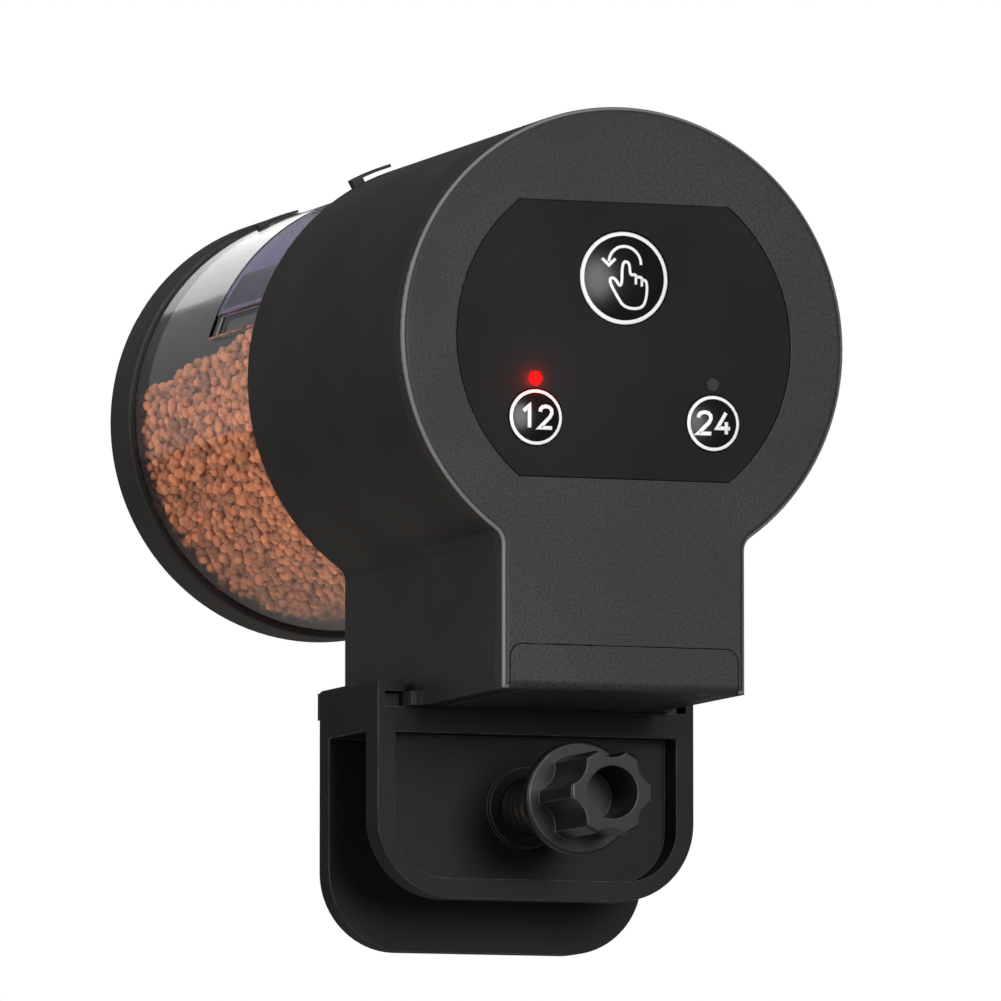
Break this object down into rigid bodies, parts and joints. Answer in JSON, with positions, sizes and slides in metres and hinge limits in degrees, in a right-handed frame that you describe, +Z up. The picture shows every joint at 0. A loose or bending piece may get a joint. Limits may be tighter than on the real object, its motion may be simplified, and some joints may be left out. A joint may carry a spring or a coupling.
{
  "type": "automatic fish feeder",
  "caption": "Rim-mounted fish feeder: a clear pellet drum turned by a geared motor in a keyhole housing with a button panel, on a bracket with a clamp screw.",
  "frame": {"origin": "middle of the bracket's underside, where it rests on the top edge of the tank's glass", "axes": "+Z up, +Y along the drum's axis from the front panel back over the tank, +X to the right seen from the front panel"},
  "size_m": [0.07, 0.1436, 0.1226],
  "materials": {
    "cover_plastic": "fine-grained dark grey moulded ABS",
    "housing_plastic": "satin black moulded ABS",
    "bracket_plastic": "fine-grained black moulded ABS",
    "knob_plastic": "satin black moulded nylon",
    "overlay_film": "smooth black printed film",
    "button_gloss": "glossy black domed caps with white marks",
    "lit_lens": "lit red light guide",
    "unlit_lens": "unlit grey light guide",
    "circuit_board": "green solder-masked board",
    "black_component": "moulded component cases",
    "led_package": "small white indicator packages",
    "capacitor_sleeve": "dark blue sleeve",
    "bright_metal": "nickel-plated metal",
    "screw_steel": "zinc-plated screws",
    "motor_metal": "pressed steel",
    "gear_plastic": "natural acetal",
    "bush_bronze": "sintered bronze",
    "drive_plastic": "black moulded ABS",
    "soft_rubber": "soft black rubber",
    "clear_barrel": "clear moulded styrene",
    "tinted_shutter": "blue-violet tinted clear styrene",
    "cap_plastic": "satin black moulded ABS",
    "pellets": "red-brown feed granules",
    "battery_jacket": "plain printed battery jackets"
  },
  "bodies": {
    "bracket": {"clamp_bracket": "bracket_plastic"},
    "clamp_foot": {"clamp_pad": "knob_plastic", "pad_cushion": "soft_rubber"},
    "clamp_handle": {"clamp_knob": "knob_plastic", "clamp_screw": "knob_plastic"},
    "housing": {"main_housing": "housing_plastic", "front_cover": "cover_plastic", "panel_overlay": "overlay_film", "indicator_lens_12h": "lit_lens", "indicator_lens_24h": "unlit_lens", "control_board": "circuit_board", "tactile_switches": "black_component", "indicator_leds": "led_package", "microcontroller": "black_component", "smoothing_capacitor": "capacitor_sleeve", "clock_crystal": "bright_metal", "motor_connector": "black_component", "battery_connector": "black_component", "board_screws": "screw_steel", "motor_can": "motor_metal", "gear_reducer": "motor_metal", "motor_plate": "motor_metal", "motor_plate_screws": "screw_steel", "motor_screws": "screw_steel", "position_switch": "black_component", "switch_lever": "bright_metal", "hub_bush": "bush_bronze", "mouth_seal": "soft_rubber", "battery_left": "battery_jacket", "battery_right": "battery_jacket", "battery_springs": "bright_metal", "front_battery_contact": "bright_metal", "rear_battery_contact": "bright_metal"},
    "door": {"battery_door": "cover_plastic"},
    "manual_button": {"manual_feed_button": "button_gloss"},
    "button_12h": {"interval_12h_button": "button_gloss"},
    "button_24h": {"interval_24h_button": "button_gloss"},
    "pinion": {"motor_pinion": "gear_plastic", "motor_shaft": "bright_metal"},
    "drive": {"drive_gear": "gear_plastic", "index_cam": "gear_plastic", "drive_disc": "drive_plastic", "drive_disc_screw": "screw_steel"},
    "drum": {"drum_collar": "drive_plastic", "drum_barrel": "clear_barrel", "drum_grip_ribs": "cap_plastic"},
    "shutter": {"outlet_shutter": "tinted_shutter"},
    "cap": {"end_cap": "cap_plastic", "cap_gasket": "soft_rubber"},
    "food": {"fish_food": "pellets"}
  },
  "joints": [
    {"name": "feeder_slide", "type": "slide", "parent": "bracket", "child": "housing", "axis": [0, 1, 0], "range_m": [0, 0.04]},
    {"name": "pad_slide", "type": "slide", "parent": "bracket", "child": "clamp_foot", "axis": [0, 1, 0], "range_m": [0, 0.01]},
    {"name": "knob_spin", "type": "hinge", "parent": "clamp_foot", "child": "clamp_handle", "pos_m": [0, -0.0317, -0.0111], "axis": [0, 1, 0], "range_deg": [0, 1441]},
    {"name": "door_slide", "type": "slide", "parent": "housing", "child": "door", "axis": [0, -1, 0], "range_m": [0, 0.055]},
    {"name": "manual_press", "type": "slide", "parent": "housing", "child": "manual_button", "axis": [0, 1, 0], "range_m": [0, 0.0005], "stiffness_N_per_m": 400, "springref_m": -0.0005},
    {"name": "press_12h", "type": "slide", "parent": "housing", "child": "button_12h", "axis": [0, 1, 0], "range_m": [0, 0.0005], "stiffness_N_per_m": 400, "springref_m": -0.0005},
    {"name": "press_24h", "type": "slide", "parent": "housing", "child": "button_24h", "axis": [0, 1, 0], "range_m": [0, 0.0005], "stiffness_N_per_m": 400, "springref_m": -0.0005},
    {"name": "drum_spin", "type": "hinge", "parent": "housing", "child": "drive", "pos_m": [0, 0.0063, 0.0555], "axis": [0, 1, 0], "continuous": true},
    {"name": "pinion_spin", "type": "hinge", "parent": "housing", "child": "pinion", "pos_m": [0, 0.0023, 0.0765], "axis": [0, 1, 0], "continuous": true},
    {"name": "drum_release", "type": "slide", "parent": "drive", "child": "drum", "axis": [0, 1, 0], "range_m": [0, 0.03]},
    {"name": "shutter_turn", "type": "hinge", "parent": "drum", "child": "shutter", "pos_m": [0, 0.0193, 0.0555], "axis": [0, 1, 0], "range_deg": [0, 20]},
    {"name": "cap_pull", "type": "slide", "parent": "drum", "child": "cap", "axis": [0, 1, 0], "range_m": [0, 0.02]},
    {"name": "food_settle", "type": "hinge", "parent": "drum", "child": "food", "pos_m": [0, 0.0483, 0.0555], "axis": [0, 1, 0], "continuous": true}
  ],
  "couplings": [
    {"joint": "knob_spin", "follows": "pad_slide", "rad_per_m": 2513.3},
    {"joint": "pinion_spin", "follows": "drum_spin", "ratio": -3},
    {"joint": "food_settle", "follows": "drum_spin", "ratio": -1}
  ]
}
